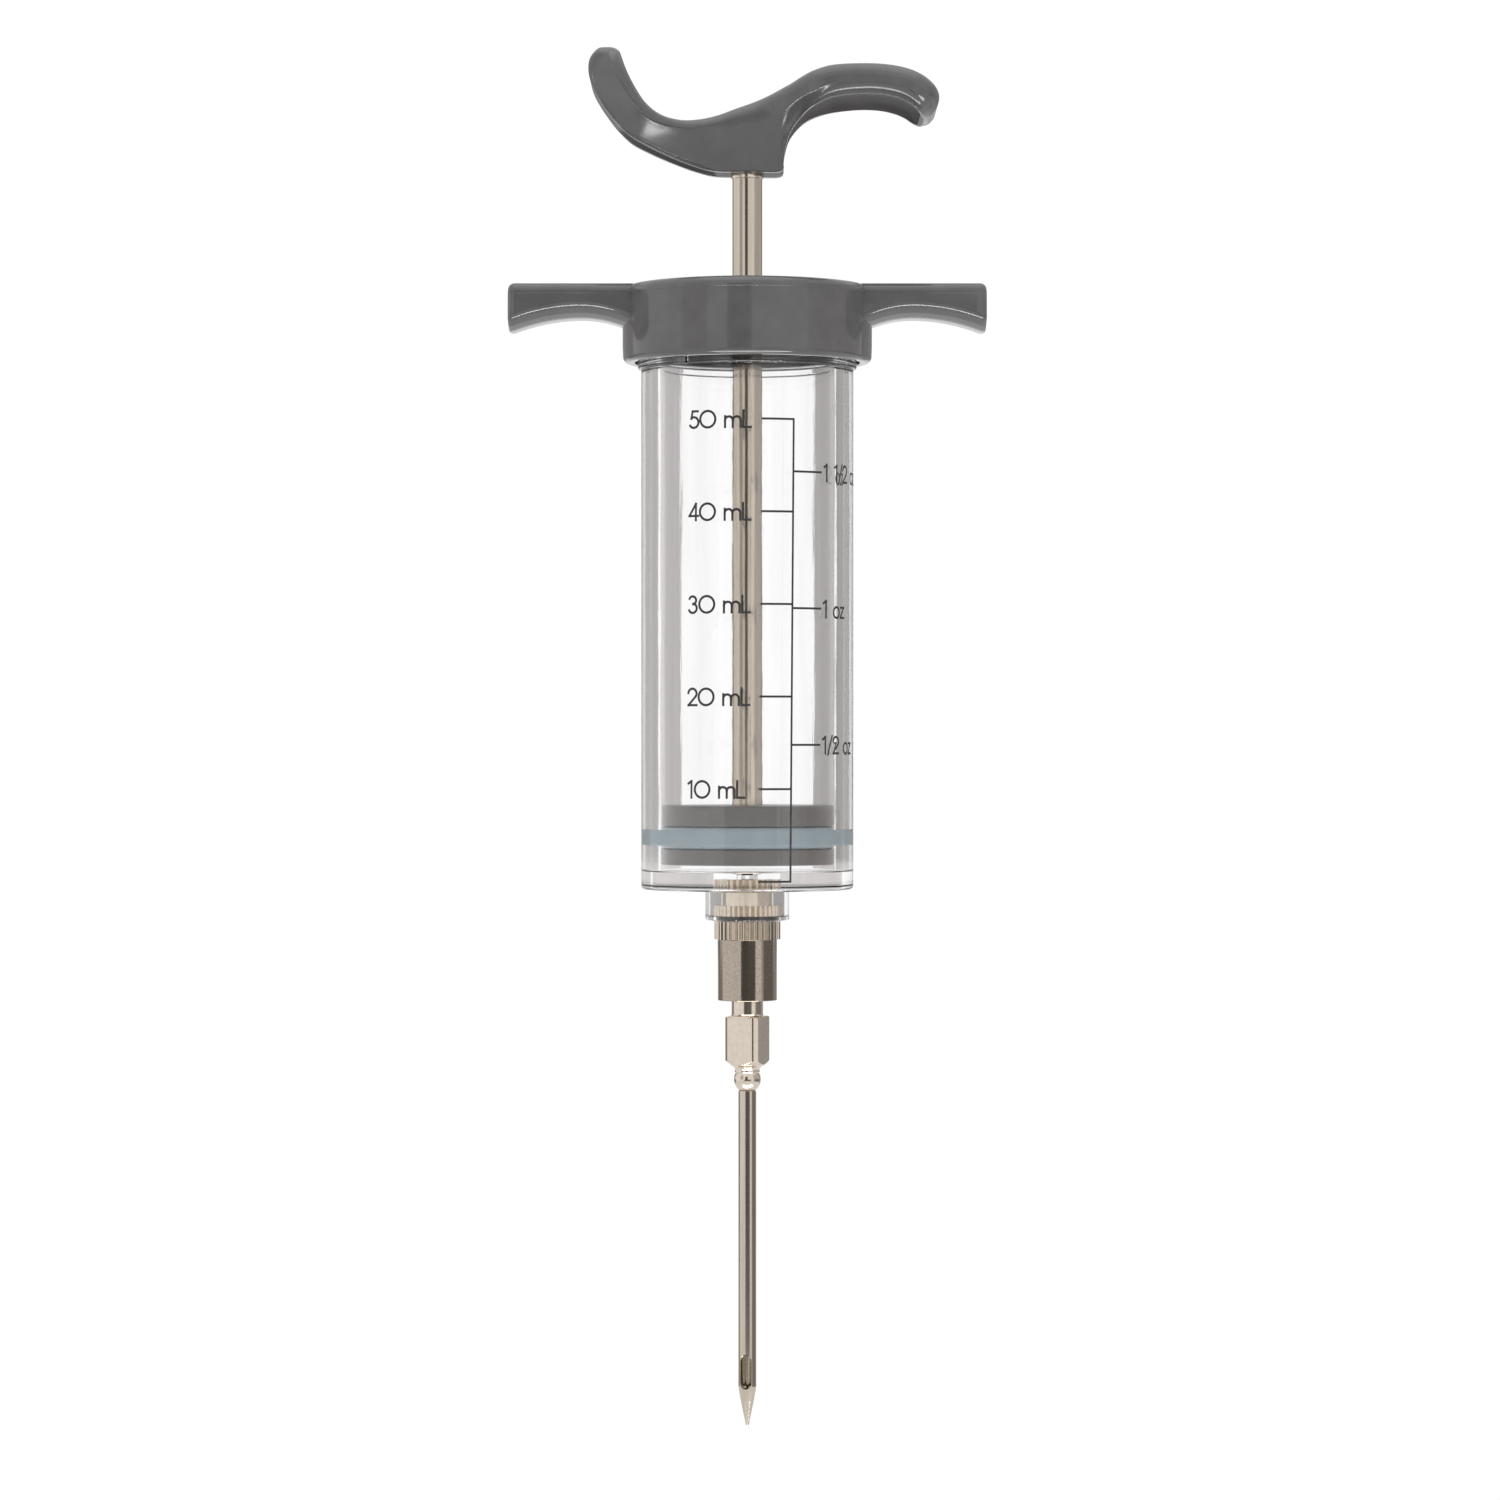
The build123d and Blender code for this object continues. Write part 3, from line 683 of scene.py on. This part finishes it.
add_piece("tip_collar", *lathe(fitting, 360, collar_shape), "fitting_body", nickel, "plated_metal", sharp=40,
          replaces=("luer_fitting",))
SLEEVE_R, SLEEVE_BORE, SLEEVE_FLOOR = 4.95, 4.0, -11.6
sleeve_low, sleeve_top = span("luer_sleeve")[0], collar_low - 0.03
sleeve = rounded([(SLEEVE_BORE, sleeve_low, 0.1), (SLEEVE_R, sleeve_low, 0.12), (SLEEVE_R, sleeve_top, 0.08),
                  (2.25, sleeve_top, 0), (2.25, SLEEVE_FLOOR, 0), (SLEEVE_BORE, SLEEVE_FLOOR, 0.2)])
add_piece("tip_sleeve", *lathe(sleeve, 128), "fitting_body", dull_nickel, "plated_metal",
          replaces=("luer_sleeve",))


# ---- needle -------------------------------------------------------------------------
HUB_R = 3.78                            # over the corners of the square
SQUARE_TOP, SQUARE_LOW = -22.95, -30.2
SQUARE_HALF, SQUARE_TURN = 3.02, 24.7
BALL_R, BALL_Z = 2.25, -33.4
ROOT_R, ROOT_Z, ROOT_TOP = 1.3, -35.3, -26.0        # the needle's end that is fixed in the hub
hub_top = span("needle_hub")[1]
hub = [(2.23, hub_top), (2.55, hub_top), (2.65, hub_top - 0.1), (2.65, -22.5), (2.75, -22.68), (3.4, -22.8),
       (HUB_R, SQUARE_TOP)]
hub += [(HUB_R, mix(SQUARE_TOP, SQUARE_LOW, k / 24)) for k in range(1, 25)]
hub += [(mix(HUB_R, 2.9, k / 8), mix(SQUARE_LOW, -30.95, k / 8)) for k in range(1, 9)]
hub += [(2.45, -31.25), (2.18, -31.5), (2.05, -31.75), (2.06, -31.95), (2.12, -32.1)]
for k in range(1, 15):
    angle = math.radians(mix(36, -54, k / 14))
    hub.append((BALL_R * math.cos(angle), BALL_Z + BALL_R * math.sin(angle)))
hub += [(ROOT_R, ROOT_Z + 0.02), (ROOT_R, ROOT_TOP), (PASSAGE_R, ROOT_TOP), (PASSAGE_R, -20.0), (1.98, -20.0)]


def hub_shape(r, z, a):
    """The square for a wrench: the turned outline cut by four flats."""
    if r < 2.2 or z > -22.7 or z < -31.4:
        return r
    turn = (a + math.radians(SQUARE_TURN + 45)) % (math.pi / 2) - math.pi / 4
    return min(r, SQUARE_HALF / math.cos(turn))


add_piece("needle_hub_body", *lathe(hub, 216, hub_shape), "needle_body", nickel, "plated_metal", sharp=24,
          replaces=("needle_hub",))
for index, start in enumerate((60, 240)):
    add_piece(f"needle_ear_{index}", *sector(2.5, 3.88, hub_top - 1.2, hub_top, start, 60), "needle_body",
              nickel, "plated_metal")

NEEDLE_R, NEEDLE_BORE_R, SHOULDER_Z = 1.5, 1.0, -84.5
tip_low, needle_top = span("needle_tube")
outline = [(NEEDLE_BORE_R, needle_top), (ROOT_R, needle_top), (ROOT_R, ROOT_Z), (NEEDLE_R, ROOT_Z)]
outline += [(NEEDLE_R, mix(ROOT_Z, SHOULDER_Z, k / 12)) for k in range(1, 13)]
outline += [(1.41, -85.18), (1.12, -86.85), (0.775, -88.5), (0.417, -90.2), (0.26, -91.0),
            (0.2, tip_low + 0.08), (0.12, tip_low), (0, tip_low),
            (0, -85.6), (0.6, -85.3), (NEEDLE_BORE_R, -84.9)]
needle = add_piece("needle_shaft", *lathe(outline, 96), "needle_body", steel, "stainless", sharp=30,
                   replaces=("needle_tube",))

PORT_LOW, PORT_HIGH, PORT_TURN = -84.8, -79.3, -12


def port_outline(width, length, depth):
    """Stadium at a depth in front of the axis, turned a little to the left."""
    half, straight = width / 2, (length - width) / 2
    centre = (PORT_LOW + PORT_HIGH) / 2
    points = [(half * math.cos(math.radians(a)), straight + half * math.sin(math.radians(a)))
              for a in range(0, 181, 15)]
    points += [(-x, -z) for x, z in points]
    turn = math.radians(PORT_TURN)
    c, s = math.cos(turn), math.sin(turn)
    return [(x * c + depth * s, x * s - depth * c, centre + z) for x, z in points]


cutter_verts, cutter_faces = loft([port_outline(1.8, 5.2, 0.0), port_outline(1.9, 5.4, 1.1),
                                   port_outline(2.5, 6.2, 1.9)])
cutter_mesh = bpy.data.meshes.new("port_cutter")
cutter_mesh.from_pydata([(x * MM, y * MM, z * MM) for x, y, z in cutter_verts], [], cutter_faces)
cutter = bpy.data.objects.new("port_cutter", cutter_mesh)
bpy.context.collection.objects.link(cutter)
cut = needle.modifiers.new("port", "BOOLEAN")
cut.operation = "DIFFERENCE"
cut.solver = "EXACT"
cut.object = cutter
bpy.context.view_layer.update()
shaft_mesh = bpy.data.meshes.new_from_object(needle.evaluated_get(bpy.context.evaluated_depsgraph_get()))
needle.modifiers.clear()
needle.data = shaft_mesh
bpy.data.objects.remove(cutter)
shaft_mesh.polygons.foreach_set("use_smooth", [True] * len(shaft_mesh.polygons))
shaft_mesh.set_sharp_from_angle(angle=math.radians(30))
